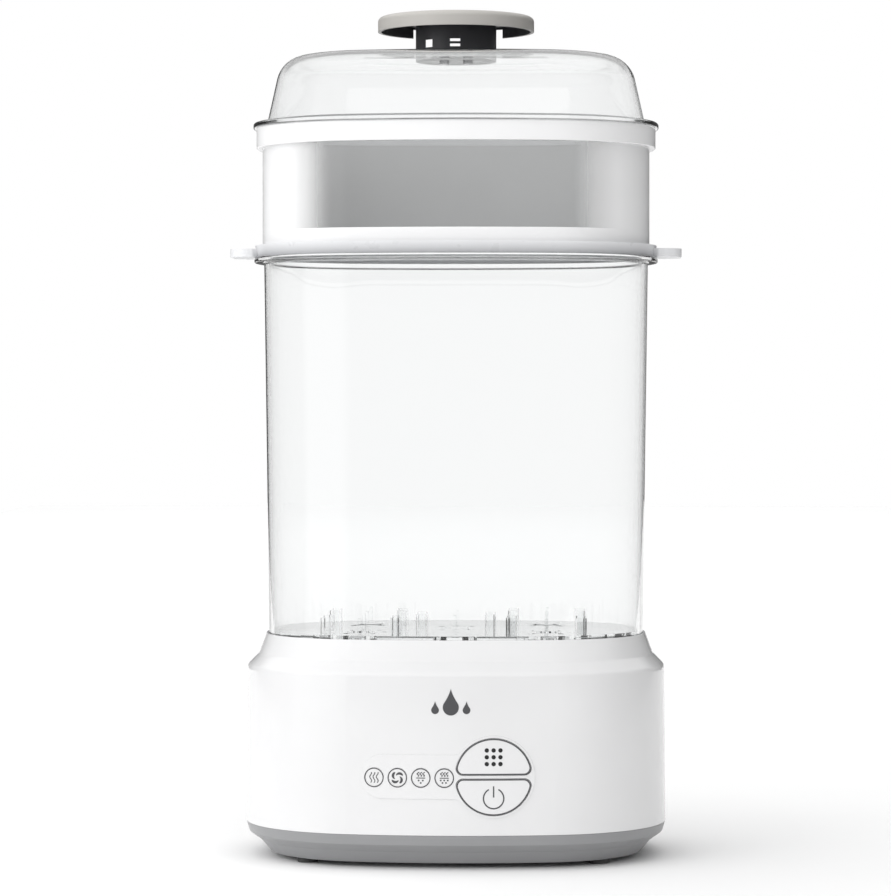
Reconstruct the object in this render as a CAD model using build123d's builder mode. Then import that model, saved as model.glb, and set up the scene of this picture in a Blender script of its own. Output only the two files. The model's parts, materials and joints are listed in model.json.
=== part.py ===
from build123d import *
import os
from math import atan2, cos, degrees, hypot, radians, sin, sqrt

# Bottle sterilizer and dryer, in millimetres. The origin is the middle of the footprint on the
# surface it stands on, +Z is up and the front faces -Y.

# ---- driving dimensions ----------------------------------------------------------------------
# Plan outline: long arcs at front and back, side arcs, and corner arcs that touch both.
half_width = 125.0
half_depth = 95.0
long_radius = 300.0
side_radius = 150.0
corner_radius = 80.0

# Heights of the stack
foot_height = 3.0
pan_top = 20.6
shoulder_low = 112.5
shoulder_high = 119.2
collar_top = 131.5
chamber_low = 127.5
chamber_rim = 351.0
tray_low = 354.0
tray_floor_top = 361.0
window_low = 369.0
tray_collar_low = 418.6
tray_top = 430.4
lid_flange_top = 433.5
lid_shoulder = 472.0
lid_top = 476.2
cap_low = 488.7
cap_top = 497.5

# How far each wall is drawn in from the plan outline
shoulder_inset = 7.6
collar_inset = 12.2
chamber_inset = 13.7
chamber_top_inset = 10.8
tray_inset = 9.9
tray_collar_inset = 6.3
lid_inset = 12.5

# Walls and clearances
wall_draft = 0.9
shell_wall = 2.6
clear_wall = 2.5
pan_floor = 2.5
gap = 0.3
running_gap = 0.05

# Water well
deck_floor = 115.5
deck_wall = 2.0
plate_y = -16.0
plate_radius = 40.0
plate_flange = 45.0
plate_low = 114.0
plate_wall = 0.8
block_radius = 35.0
block_low = 105.0
element_radius = 26.0
strap_reach = 51.0
strap_low = 100.0

# Air path
outlet_y = 49.0
outlet_radius = 12.0
blower_x, blower_z = -22.0, 56.0
blower_radius = 32.0
blower_front, blower_back = 36.0, 62.0
blower_wall = 1.5
duct_low = 90.0
fan_radius = 24.0
shaft_radius = 1.5
inlet_radius = 14.0
filter_half_x, filter_half_z, filter_z = 36.0, 26.0, 58.0
gland_x, gland_z, gland_bore = 50.0, 34.0, 3.5

# Front controls
button_x, button_z, button_radius = 24.5, 54.2, 22.0
button_split = 2.3
icon_pitch, icon_first = 13.35, -43.7
icon_radius = 5.2
guide_radius = 3.0
pad_left = -52.0
pad_half_height = 12.6
pad_depth = 1.5
pad_proud = 0.4
pad_blend = 6.0
button_proud = 0.8
board_y = 82.0
post_x, post_z = 48.5, (40.0, 72.0)

# Handle
boss_x, boss_radius = (-7.0, 7.0), 3.4
vent_circle, vent_radius = 13.0, 3.0
cap_edge = 3.0
neck_radius = 24.0
neck_wall = 2.5
neck_top = 492.0
cap_radius = 46.5
cap_wall = 2.2
notch_half = 27.0

os.makedirs("parts", exist_ok=True)


# ---- plan outline ----------------------------------------------------------------------------
side_x = half_width - side_radius
long_y = half_depth - long_radius


def corner_centre():
    """Centre of the corner arc that touches the back arc and the right side arc."""
    long_reach = long_radius - corner_radius
    side_reach = side_radius - corner_radius
    apart = hypot(side_x, long_y)
    along = (long_reach**2 - side_reach**2 + apart**2) / (2 * apart)
    across = sqrt(long_reach**2 - along**2)
    ux, uy = side_x / apart, -long_y / apart
    return along * ux + across * uy, long_y + along * uy - across * ux


corner_x, corner_y = corner_centre()
side_turn = degrees(atan2(corner_y, corner_x - side_x))
long_turn = degrees(atan2(corner_y - long_y, corner_x))


def oval(inset, height=0.0):
    """The plan outline drawn in by inset, as a sketch at one height."""
    with BuildSketch(Plane.XY.offset(height)) as outline:
        with BuildLine():
            for side, start in ((1, 0), (-1, 180)):
                CenterArc((side * side_x, 0), side_radius - inset, start - side_turn, 2 * side_turn)
                CenterArc(
                    (0, side * long_y), long_radius - inset, start + long_turn, 180 - 2 * long_turn
                )
            for sx, sy, start in (
                (1, 1, side_turn),
                (-1, 1, 180 - long_turn),
                (-1, -1, 180 + side_turn),
                (1, -1, 360 - long_turn),
            ):
                centre = (sx * corner_x, sy * corner_y)
                CenterArc(centre, corner_radius - inset, start, long_turn - side_turn)
        make_face()
    return outline.sketch


def stack(levels, mode=Mode.ADD):
    """A solid through outlines at (height, inset) levels, straight between them."""
    loft([oval(inset, height) for height, inset in levels], ruled=True, mode=mode)


def plug(low, high, inset, mode=Mode.ADD):
    """An upright solid that fills the outline drawn in by inset."""
    extrude(oval(inset, low), amount=high - low, mode=mode)


def band(low, high, outer, inner, mode=Mode.ADD):
    """An upright wall between two insets of the outline."""
    with BuildSketch(Plane.XY.offset(low)) as wall:
        add(oval(outer))
        add(oval(inner), mode=Mode.SUBTRACT)
    extrude(wall.sketch, amount=high - low, mode=mode)


def disc(x, y, low, high, radius, mode=Mode.ADD):
    """An upright cylinder."""
    with BuildSketch(Plane.XY.offset(low)) as circle:
        with Locations((x, y)):
            Circle(radius)
    extrude(circle.sketch, amount=high - low, mode=mode)


def bar(x, z, front, back, radius, mode=Mode.ADD):
    """A cylinder along Y between two depths."""
    with BuildSketch(Plane.XZ.offset(-back)) as circle:
        with Locations((x, z)):
            Circle(radius)
    extrude(circle.sketch, amount=back - front, mode=mode)


def block(x0, x1, y0, y1, z0, z1, mode=Mode.ADD):
    """A rectangular block between two corners."""
    with BuildSketch(Plane.XY.offset(z0)) as base:
        with Locations(((x0 + x1) / 2, (y0 + y1) / 2)):
            Rectangle(x1 - x0, y1 - y0)
    extrude(base.sketch, amount=z1 - z0, mode=mode)


def on_corners(reach, angle):
    """The four points at one reach and angle about the corner arcs' centres."""
    x = corner_x + reach * cos(radians(angle))
    y = corner_y + reach * sin(radians(angle))
    return [(x, y), (-x, y), (-x, -y), (x, -y)]


def edges_at(height, builder):
    """The level edges of a part at one height."""
    return builder.edges().filter_by(lambda e: abs(e.bounding_box().min.Z - height) < 0.01
                                     and abs(e.bounding_box().max.Z - height) < 0.01)


foot_points = on_corners(58.2, 45.5)
screw_points = on_corners(52.0, 20.0)
wall_levels = [(pan_top, 0.0), (shoulder_low, wall_draft)]


# ---- base: pan, feet, housing ----------------------------------------------------------------
with BuildPart() as bottom_pan:
    stack([(foot_height, 14.2), (9.9, 8.4), (14.6, 1.8), (pan_top, 0.0)])
    stack(
        [(foot_height + pan_floor, 16.8), (9.9, 11.0), (14.6, 4.4), (pan_top, shell_wall)],
        mode=Mode.SUBTRACT,
    )
    for x, y in screw_points:
        disc(x, y, foot_height, foot_height + pan_floor, 1.7, mode=Mode.SUBTRACT)
        with Locations((x, y, foot_height)):
            Cone(3.2, 1.7, 1.5, align=(Align.CENTER, Align.CENTER, Align.MIN), mode=Mode.SUBTRACT)
    for x in (34.0, 84.0):
        for y in (-52.0, 20.0):
            disc(x, y, foot_height + pan_floor - 0.5, 12.0, 3.0)
bottom_pan.part.label = "bottom_pan"
export_step(bottom_pan.part, "parts/bottom_pan.step")

with BuildPart() as feet:
    for x, y in foot_points:
        disc(x, y, 0.0, foot_height, 6.0)
    fillet(edges_at(0.0, feet), 0.6)
feet.part.label = "feet"
export_step(feet.part, "parts/feet.step")

with BuildPart() as bottom_screws:
    for x, y in screw_points:
        with Locations((x, y, foot_height)):
            Cone(3.1, 1.6, 1.5, align=(Align.CENTER, Align.CENTER, Align.MIN))
        disc(x, y, foot_height, 22.0, 1.45)
        with Locations((x, y, foot_height)):
            Box(3.0, 0.6, 0.8, align=(Align.CENTER, Align.CENTER, Align.MIN), mode=Mode.SUBTRACT)
            Box(0.6, 3.0, 0.8, align=(Align.CENTER, Align.CENTER, Align.MIN), mode=Mode.SUBTRACT)
bottom_screws.part.label = "bottom_screws"
export_step(bottom_screws.part, "parts/bottom_screws.step")


def moon(up, grow, straight_grow=0.0):
    """A half-moon button outline: up is 1 for the upper one and -1 for the lower one."""
    radius = button_radius + grow
    edge = button_split / 2 - straight_grow
    with Locations((button_x, button_z)):
        Circle(radius)
        with Locations((0, up * (edge + radius))):
            Rectangle(3 * radius, 2 * radius, mode=Mode.INTERSECT)


def cut_moons(grow):
    """Button openings through the whole front."""
    for up in (1, -1):
        with BuildSketch(Plane.XZ.offset(80.0)) as opening:
            moon(up, grow, grow)
            fillet(vertices(), 4.0)
        extrude(opening.sketch, amount=30.0, mode=Mode.SUBTRACT)


def pad_outline():
    """The control pad: a level pill that blends into a round field."""
    with Locations(((pad_left + button_x) / 2, button_z)):
        SlotOverall(button_x - pad_left, 2 * pad_half_height)
    with Locations((button_x, button_z)):
        Circle(button_radius + 1.6)
    fillet(vertices().filter_by_position(Axis.X, 0.0, 10.0), pad_blend)


icon_centres = [(icon_first + n * icon_pitch, button_z) for n in range(4)]

with BuildPart() as pad_recess:
    with BuildSketch(Plane.XZ.offset(60.0)):
        pad_outline()
    extrude(amount=50.0)
    plug(0.0, collar_top, pad_depth, mode=Mode.SUBTRACT)

with BuildPart() as base_housing:
    stack(wall_levels + [(shoulder_high, shoulder_inset), (collar_top, collar_inset)])
    fillet(edges_at(shoulder_low, base_housing), 4.0)
    fillet(edges_at(shoulder_high, base_housing), 2.0)
    stack(
        [(pan_top, shell_wall), (shoulder_low - 1.0, shell_wall + wall_draft), (121.5, 13.4)],
        mode=Mode.SUBTRACT,
    )
    plug(121.0, 125.0, 22.1, mode=Mode.SUBTRACT)
    plug(124.5, 140.0, collar_inset + 1.2, mode=Mode.SUBTRACT)
    for (x, y), angle in zip(screw_points, (20, 160, 200, 340)):
        disc(x, y, foot_height + pan_floor, 60.0, 4.5)
        with Locations(Location((x, y, 22.0), (0, 0, angle))):
            Box(27.0, 2.0, 38.0, align=(Align.MIN, Align.CENTER, Align.MIN))
        disc(x, y, foot_height + pan_floor, 30.0, 1.5, mode=Mode.SUBTRACT)
    for x in (-post_x, post_x):
        for z in post_z:
            bar(x, z, -90.0, -board_y - 1.6, 3.0)
            bar(x, z, -88.0, -board_y - 1.6, 1.05, mode=Mode.SUBTRACT)
    cut_moons(gap)
    with BuildSketch(Plane.XZ.offset(80.0)):
        with Locations(*icon_centres):
            Circle(guide_radius + gap)
    extrude(amount=30.0, mode=Mode.SUBTRACT)
    with BuildSketch(Plane.XZ.offset(-(half_depth + 10.0))):
        with Locations((0, filter_z)):
            RectangleRounded(2 * filter_half_x, 2 * filter_half_z, 4.0)
    extrude(amount=30.0, mode=Mode.SUBTRACT)
    bar(gland_x, gland_z, 84.5, 89.0, 11.0)
    bar(gland_x, gland_z, 87.0, 100.0, 9.0, mode=Mode.SUBTRACT)
    bar(gland_x, gland_z, 80.0, 100.0, 6.5, mode=Mode.SUBTRACT)
    add(pad_recess.part, mode=Mode.SUBTRACT)
base_housing.part.label = "base_housing"
export_step(base_housing.part, "parts/base_housing.step")

with BuildPart() as cord_gland:
    bar(gland_x, gland_z, 87.0, 89.2, 8.6)
    bar(gland_x, gland_z, 79.0, 88.0, 6.3)
    bar(gland_x, gland_z, 70.0, 100.0, gland_bore, mode=Mode.SUBTRACT)
cord_gland.part.label = "cord_gland"
export_step(cord_gland.part, "parts/cord_gland.step")

with BuildPart() as gland_nut:
    with BuildSketch(Plane.XZ.offset(-84.5)):
        with Locations((gland_x, gland_z)):
            RegularPolygon(9.0, 6)
            Circle(6.35, mode=Mode.SUBTRACT)
    extrude(amount=3.5)
gland_nut.part.label = "gland_nut"
export_step(gland_nut.part, "parts/gland_nut.step")

# ---- base: water well and heater -------------------------------------------------------------
with BuildPart() as well_deck:
    plug(chamber_low - 3.0, chamber_low, 13.9)
    stack([(deck_floor - deck_wall, 29.0), (chamber_low - 3.0, 22.4)])
    stack([(deck_floor, 31.0), (chamber_low, 22.0)], mode=Mode.SUBTRACT)
    disc(0, plate_y, 100.0, 120.0, plate_radius + 2.2, mode=Mode.SUBTRACT)
    disc(0, outlet_y, deck_floor - deck_wall, 120.5, outlet_radius + 2.0)
    disc(0, outlet_y, 100.0, 125.0, outlet_radius, mode=Mode.SUBTRACT)
    for x in (-strap_reach, strap_reach):
        disc(x, plate_y, strap_low + 1.5, deck_floor - deck_wall, 4.0)
        disc(x, plate_y, strap_low + 1.5, 111.0, 1.2, mode=Mode.SUBTRACT)
well_deck.part.label = "well_deck"
export_step(well_deck.part, "parts/well_deck.step")

with BuildPart() as plate_seal:
    disc(0, plate_y, deck_floor - deck_wall, deck_floor + 0.8, plate_radius + 2.0)
    disc(0, plate_y, deck_floor, deck_floor + 0.8, plate_flange + 0.5)
    disc(0, plate_y, 100.0, 120.0, plate_radius + gap, mode=Mode.SUBTRACT)
plate_seal.part.label = "plate_seal"
export_step(plate_seal.part, "parts/plate_seal.step")

with BuildPart() as heating_plate:
    disc(0, plate_y, plate_low, deck_floor + 1.6, plate_radius)
    disc(0, plate_y, deck_floor + 0.8, deck_floor + 1.6, plate_flange)
    disc(0, plate_y, plate_low + plate_wall, 120.0, plate_radius - plate_wall, mode=Mode.SUBTRACT)
heating_plate.part.label = "heating_plate"
export_step(heating_plate.part, "parts/heating_plate.step")

with BuildPart() as heater_block:
    disc(0, plate_y, block_low, plate_low, block_radius)
    disc(0, plate_y, block_low, plate_low, 12.0, mode=Mode.SUBTRACT)
    with Locations((0, plate_y, block_low)):
        Torus(element_radius, 3.3, mode=Mode.SUBTRACT)
heater_block.part.label = "heater_block"
export_step(heater_block.part, "parts/heater_block.step")

with BuildPart() as heater_element:
    with Locations(Location((0, plate_y, block_low - 0.3), (0, 0, -60))):
        Torus(element_radius, 3.0, major_angle=300)
    for side in (-1, 1):
        x = side * element_radius * sin(radians(30))
        disc(x, plate_y - element_radius * cos(radians(30)), 90.0, block_low - 0.3, 2.5)
heater_element.part.label = "heater_element"
export_step(heater_element.part, "parts/heater_element.step")

with BuildPart() as heater_strap:
    with BuildSketch(Plane.XY.offset(strap_low)):
        with Locations((0, plate_y)):
            SlotOverall(2 * strap_reach + 12.0, 12.0)
            Circle(4.5, mode=Mode.SUBTRACT)
        with Locations((-strap_reach, plate_y), (strap_reach, plate_y)):
            Circle(1.7, mode=Mode.SUBTRACT)
    extrude(amount=1.5)
heater_strap.part.label = "heater_strap"
export_step(heater_strap.part, "parts/heater_strap.step")

with BuildPart() as strap_screws:
    for x in (-strap_reach, strap_reach):
        disc(x, plate_y, strap_low - 2.0, strap_low, 3.0)
        disc(x, plate_y, strap_low, 110.0, 1.15)
strap_screws.part.label = "strap_screws"
export_step(strap_screws.part, "parts/strap_screws.step")

with BuildPart() as thermostat:
    disc(0, plate_y, strap_low + 1.5, plate_low, 9.0)
    for x in (-2.5, 2.5):
        block(x - 0.4, x + 0.4, plate_y - 2.5, plate_y + 2.5, 93.0, strap_low + 1.5)
thermostat.part.label = "thermostat"
export_step(thermostat.part, "parts/thermostat.step")

fuse_y = plate_y - 17.0
fuse_radius = 1.6
with BuildPart() as thermal_fuse:
    with BuildSketch(Plane.YZ.offset(-6.0)):
        with Locations((fuse_y, block_low - fuse_radius)):
            Circle(fuse_radius)
    extrude(amount=12.0)
    with BuildSketch(Plane.YZ.offset(-12.0)):
        with Locations((fuse_y, block_low - fuse_radius)):
            Circle(0.5)
    extrude(amount=24.0)
thermal_fuse.part.label = "thermal_fuse"
export_step(thermal_fuse.part, "parts/thermal_fuse.step")

with BuildPart() as fuse_clip:
    with BuildSketch(Plane.YZ.offset(-2.5)):
        with Locations((fuse_y, block_low - fuse_radius - 0.6)):
            Rectangle(2 * fuse_radius + 1.6, 2 * fuse_radius + 1.2)
        with Locations((fuse_y, block_low - fuse_radius / 2)):
            Rectangle(2 * fuse_radius + 0.1, fuse_radius, mode=Mode.SUBTRACT)
        with Locations((fuse_y, block_low - fuse_radius)):
            Circle(fuse_radius + 0.05, mode=Mode.SUBTRACT)
    extrude(amount=5.0)
fuse_clip.part.label = "fuse_clip"
export_step(fuse_clip.part, "parts/fuse_clip.step")

# ---- base: air path --------------------------------------------------------------------------
duct_half = blower_x + blower_radius


def scroll(draw_in, rise=0.0):
    """The blower's outline: a round casing with an upright outlet channel along one side."""
    with Locations((blower_x, blower_z)):
        Circle(blower_radius - draw_in)
    with Locations((0, (blower_z + duct_low + rise) / 2)):
        Rectangle(2 * (duct_half - draw_in), duct_low - blower_z + rise)


with BuildPart() as blower_housing:
    with BuildSketch(Plane.XZ.offset(-blower_back + blower_wall)):
        scroll(0.0)
    extrude(amount=blower_back - blower_front - blower_wall)
    with BuildSketch(Plane.XZ.offset(-blower_back)):
        scroll(blower_wall, rise=5.0)
    extrude(amount=blower_back - blower_front - blower_wall, mode=Mode.SUBTRACT)
    bar(blower_x, blower_z, 30.0, 45.0, 3.0, mode=Mode.SUBTRACT)
blower_housing.part.label = "blower_housing"
export_step(blower_housing.part, "parts/blower_housing.step")

with BuildPart() as blower_cover:
    with BuildSketch(Plane.XZ.offset(-blower_back)):
        scroll(0.0)
        with Locations((blower_x, blower_z)):
            Circle(inlet_radius, mode=Mode.SUBTRACT)
    extrude(amount=blower_wall)
blower_cover.part.label = "blower_cover"
export_step(blower_cover.part, "parts/blower_cover.step")

blade_count = 24
wheel_front = blower_front + 4.0
with BuildPart() as fan_wheel:
    bar(blower_x, blower_z, wheel_front, wheel_front + 1.2, fan_radius)
    bar(blower_x, blower_z, wheel_front, wheel_front + 16.0, 5.0)
    bar(blower_x, blower_z, wheel_front + 16.0, wheel_front + 17.5, fan_radius)
    bar(blower_x, blower_z, wheel_front + 15.9, wheel_front + 18.0, fan_radius - 4.5, mode=Mode.SUBTRACT)
    with Locations(Location((blower_x, wheel_front + 0.6, blower_z), (-90, 0, 0))):
        with PolarLocations(fan_radius - 2.8, blade_count):
            with Locations(Location((0, 0, 0), (0, 0, 35))):
                Box(4.6, 0.8, 16.0, align=(Align.CENTER, Align.CENTER, Align.MIN))
    bar(blower_x, blower_z, wheel_front - 1.0, wheel_front + 12.0, shaft_radius + running_gap,
        mode=Mode.SUBTRACT)
fan_wheel.part.label = "fan_wheel"
export_step(fan_wheel.part, "parts/fan_wheel.step")

with BuildPart() as fan_motor:
    bar(blower_x, blower_z, blower_front - 18.0, blower_front, 17.0)
    fillet(fan_motor.edges().sort_by(Axis.Y)[0], 2.0)
    bar(blower_x, blower_z, blower_front, wheel_front + 11.5, shaft_radius)
fan_motor.part.label = "fan_motor"
export_step(fan_motor.part, "parts/fan_motor.step")

with BuildPart() as inlet_gasket:
    bar(blower_x, blower_z, blower_back, blower_back + 2.0, inlet_radius + 4.0)
    bar(blower_x, blower_z, blower_back, blower_back + 2.0, inlet_radius, mode=Mode.SUBTRACT)
inlet_gasket.part.label = "inlet_gasket"
export_step(inlet_gasket.part, "parts/inlet_gasket.step")

with BuildPart() as air_duct:
    block(-14.0, 14.0, blower_front, blower_back, duct_low, deck_floor - deck_wall)
    block(-12.5, 12.5, blower_front + 1.5, blower_back - 1.5, duct_low + 1.5, 120.0, mode=Mode.SUBTRACT)
    block(
        -duct_half + 1.5,
        duct_half - 1.5,
        blower_front + 1.5,
        blower_back - 1.5,
        duct_low,
        duct_low + 1.5,
        mode=Mode.SUBTRACT,
    )
air_duct.part.label = "air_duct"
export_step(air_duct.part, "parts/air_duct.step")

with BuildPart() as air_heater:
    for side in (-1, 1):
        block(side * 11.0 - 1.0, side * 11.0 + 1.0, outlet_y - 10.5, outlet_y + 10.5, 94.0, 108.0)
    block(-10.0, 10.0, outlet_y - 10.5, outlet_y - 9.0, 94.0, 108.0)
    block(-10.0, 10.0, outlet_y + 9.0, outlet_y + 10.5, 94.0, 108.0)
    for n in range(9):
        x = -8.0 + 2.0 * n
        block(x - 0.2, x + 0.2, outlet_y - 9.0, outlet_y + 9.0, 95.0, 107.0)
air_heater.part.label = "air_heater"
export_step(air_heater.part, "parts/air_heater.step")

cap_slots = 10
with BuildPart() as air_outlet_cap:
    disc(0, outlet_y, 117.6, 126.5, outlet_radius + 4.0)
    fillet(edges_at(126.5, air_outlet_cap), 2.0)
    disc(0, outlet_y, 117.0, 125.0, outlet_radius + 2.3, mode=Mode.SUBTRACT)
    with Locations((0, outlet_y, 121.2)):
        with PolarLocations(outlet_radius + 3.0, cap_slots):
            Box(8.0, 3.0, 2.6, align=(Align.CENTER, Align.CENTER, Align.MIN), mode=Mode.SUBTRACT)
air_outlet_cap.part.label = "air_outlet_cap"
export_step(air_outlet_cap.part, "parts/air_outlet_cap.step")

with BuildPart() as filter_housing:
    x, z, wall = filter_half_x + gap, filter_half_z + gap, 1.5
    block(-x - wall, x + wall, blower_back + 2.0, 89.0, filter_z - z - wall, filter_z + z + wall)
    block(-x, x, blower_back + 2.0 + wall, 90.0, filter_z - z, filter_z + z, mode=Mode.SUBTRACT)
    bar(blower_x, blower_z, blower_back, 70.0, inlet_radius, mode=Mode.SUBTRACT)
filter_housing.part.label = "filter_housing"
export_step(filter_housing.part, "parts/filter_housing.step")

grille_proud = 0.55
grille_rows = 7
with BuildPart() as filter_holder:
    stack([(pan_top, -grille_proud), (shoulder_low, 0.9 - grille_proud)])
    plug(0.0, collar_top, 3.0, mode=Mode.SUBTRACT)
    with BuildSketch(Plane.XZ.offset(-110.0)):
        with Locations((0, filter_z)):
            RectangleRounded(2 * (filter_half_x - gap), 2 * (filter_half_z - gap), 3.7)
    extrude(amount=50.0, mode=Mode.INTERSECT)
    x, z = filter_half_x - 1.5, filter_half_z - 1.5
    block(-x, x, 68.0, 90.5, filter_z - z, filter_z + z)
    block(-x + 1.5, x - 1.5, 67.0, 89.0, filter_z - z + 1.5, filter_z + z - 1.5, mode=Mode.SUBTRACT)
    with BuildSketch(Plane.XZ.offset(-110.0)):
        with Locations((0, filter_z - 1.5)):
            with GridLocations(0, 6.0, 1, grille_rows):
                SlotOverall(2 * filter_half_x - 16.0, 2.6)
        with Locations((0, filter_z + filter_half_z - 5.0)):
            SlotOverall(18.0, 4.5)
    extrude(amount=50.0, mode=Mode.SUBTRACT)
filter_holder.part.label = "filter_holder"
export_step(filter_holder.part, "parts/filter_holder.step")

pleat_count = 15
pleat_pitch = 4.4
pleat_front, pleat_back = 70.0, 84.0
paper = 0.5


def zigzag(shift):
    """Corner points of the pleated paper, moved along Y by shift."""
    start = -pleat_count * pleat_pitch / 2
    points = []
    for n in range(2 * pleat_count + 1):
        y = pleat_back if n % 2 else pleat_front
        points.append((start + n * pleat_pitch / 2, y + shift))
    return points


with BuildPart() as air_filter:
    with BuildSketch(Plane.XY.offset(filter_z - filter_half_z + 3.0)):
        with BuildLine():
            Polyline(*zigzag(0.0), *reversed(zigzag(paper * 4)), close=True)
        make_face()
    extrude(amount=2 * filter_half_z - 6.0)
air_filter.part.label = "air_filter"
export_step(air_filter.part, "parts/air_filter.step")

# ---- base: controls --------------------------------------------------------------------------
with BuildPart() as control_bezel:
    stack([(pan_top, -pad_proud), (shoulder_low, 0.9 - pad_proud)])
    plug(0.0, collar_top, pad_depth, mode=Mode.SUBTRACT)
    with BuildSketch(Plane.XZ.offset(60.0)):
        pad_outline()
    extrude(amount=50.0, mode=Mode.INTERSECT)
    cut_moons(gap)
    with BuildSketch(Plane.XZ.offset(80.0)):
        with Locations(*icon_centres):
            Circle(icon_radius)
    extrude(amount=30.0, mode=Mode.SUBTRACT)
control_bezel.part.label = "control_bezel"
export_step(control_bezel.part, "parts/control_bezel.step")

with BuildPart() as lens_faces:
    stack([(pan_top, -pad_proud), (shoulder_low, 0.9 - pad_proud)])
    plug(0.0, collar_top, pad_depth, mode=Mode.SUBTRACT)
    with BuildSketch(Plane.XZ.offset(60.0)):
        with Locations(*icon_centres):
            Circle(icon_radius - running_gap)
    extrude(amount=50.0, mode=Mode.INTERSECT)

with BuildPart() as indicator_lenses:
    stack([(pan_top, -pad_proud), (shoulder_low, 0.9 - pad_proud)])
    with BuildSketch(Plane.XZ.offset(board_y + 3.9)):
        with Locations(*icon_centres):
            Circle(guide_radius)
    extrude(amount=30.0, mode=Mode.INTERSECT)
    add(lens_faces.part)
indicator_lenses.part.label = "indicator_lenses"
export_step(indicator_lenses.part, "parts/indicator_lenses.step")

with BuildPart() as indicator_lights:
    for x, z in icon_centres:
        block(x - 2.5, x + 2.5, -board_y - 3.6, -board_y - 1.6, z - 2.5, z + 2.5)
indicator_lights.part.label = "indicator_lights"
export_step(indicator_lights.part, "parts/indicator_lights.step")

switch_rise = 11.0
for name, up in (("mode_button", 1), ("power_button", -1)):
    with BuildPart() as button:
        stack([(pan_top, -button_proud), (shoulder_low, 0.9 - button_proud)])
        plug(0.0, collar_top, 4.4, mode=Mode.SUBTRACT)
        with BuildSketch(Plane.XZ.offset(60.0)):
            moon(up, 0.0)
            fillet(vertices(), 4.0)
        extrude(amount=50.0, mode=Mode.INTERSECT)
        with BuildSketch(Plane.XZ.offset(60.0)) as flange_outline:
            moon(up, 1.2)
            fillet(vertices(), 4.0)
        flange = extrude(flange_outline.sketch, amount=50.0, mode=Mode.PRIVATE)
        with BuildSketch() as flange_band:
            add(oval(3.4))
            add(oval(4.4), mode=Mode.SUBTRACT)
        add(flange & extrude(flange_band.sketch, amount=collar_top, mode=Mode.PRIVATE))
        bar(button_x, button_z + up * switch_rise, -91.0, -board_y - 7.1, 2.5)
    button.part.label = name
    export_step(button.part, f"parts/{name}.step")

with BuildPart() as control_board:
    block(-53.0, 53.0, -board_y - 1.6, -board_y, 36.0, 76.0)
    for x in (-post_x, post_x):
        for z in post_z:
            bar(x, z, -90.0, -80.0, 1.2, mode=Mode.SUBTRACT)
control_board.part.label = "control_board"
export_step(control_board.part, "parts/control_board.step")

with BuildPart() as board_screws:
    for x in (-post_x, post_x):
        for z in post_z:
            bar(x, z, -87.0, -board_y, 1.0)
            bar(x, z, -board_y, -board_y + 1.6, 2.4)
board_screws.part.label = "board_screws"
export_step(board_screws.part, "parts/board_screws.step")

with BuildPart() as button_switches:
    for up in (1, -1):
        z = button_z + up * switch_rise
        block(button_x - 3.0, button_x + 3.0, -board_y - 5.1, -board_y - 1.6, z - 3.0, z + 3.0)
        bar(button_x, z, -board_y - 6.1, -board_y - 5.1, 1.7)
button_switches.part.label = "button_switches"
export_step(button_switches.part, "parts/button_switches.step")

with BuildPart() as power_board:
    block(31.0, 86.0, -55.0, 23.0, 12.0, 13.6)
power_board.part.label = "power_board"
export_step(power_board.part, "parts/power_board.step")

with BuildPart() as board_parts:
    block(44.0, 66.0, -44.0, -22.0, 13.6, 31.0)
    block(38.0, 54.0, 0.0, 12.0, 13.6, 28.0)
    block(68.0, 82.0, 4.0, 14.0, 13.6, 23.0)
    for y in (-46.0, -32.0):
        disc(76.0, y, 13.6, 32.0, 5.0)
board_parts.part.label = "board_parts"
export_step(board_parts.part, "parts/board_parts.step")

# ---- chamber and rack ------------------------------------------------------------------------
with BuildPart() as chamber_wall:
    stack([(chamber_low, chamber_inset), (132.0, chamber_inset), (chamber_rim, chamber_top_inset)])
    plug(chamber_rim, tray_low, 5.0)
    fillet(edges_at(tray_low, chamber_wall), 1.0)
    stack(
        [
            (chamber_low, chamber_inset + clear_wall),
            (132.0, chamber_inset + clear_wall),
            (tray_low, chamber_top_inset + clear_wall),
        ],
        mode=Mode.SUBTRACT,
    )
chamber_wall.part.label = "chamber_wall"
export_step(chamber_wall.part, "parts/chamber_wall.step")

rack_low = 131.0
rack_top = 133.5
rack_inset = 16.9
fin_height = 9.0
fin_count = 6
stations = [(-54.0, -37.0), (54.0, -37.0), (0.0, 0.0), (-54.0, 37.0), (54.0, 37.0)]
with BuildPart() as bottle_rack:
    plug(rack_low, rack_top, rack_inset)
    band(chamber_low, rack_low, rack_inset, rack_inset + 2.0)
    for x, y in stations:
        disc(x, y, rack_low, rack_top, 9.0, mode=Mode.SUBTRACT)
        with Locations((x, y, rack_top - 0.5)):
            with PolarLocations(23.5, fin_count, 30):
                Box(6.0, 1.8, fin_height + 0.5, align=(Align.CENTER, Align.CENTER, Align.MIN))
        with Locations((x, y, rack_low)):
            with PolarLocations(15.5, fin_count):
                Box(7.0, 4.0, 3.0, align=(Align.CENTER, Align.CENTER, Align.MIN), mode=Mode.SUBTRACT)
bottle_rack.part.label = "bottle_rack"
export_step(bottle_rack.part, "parts/bottle_rack.step")

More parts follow.
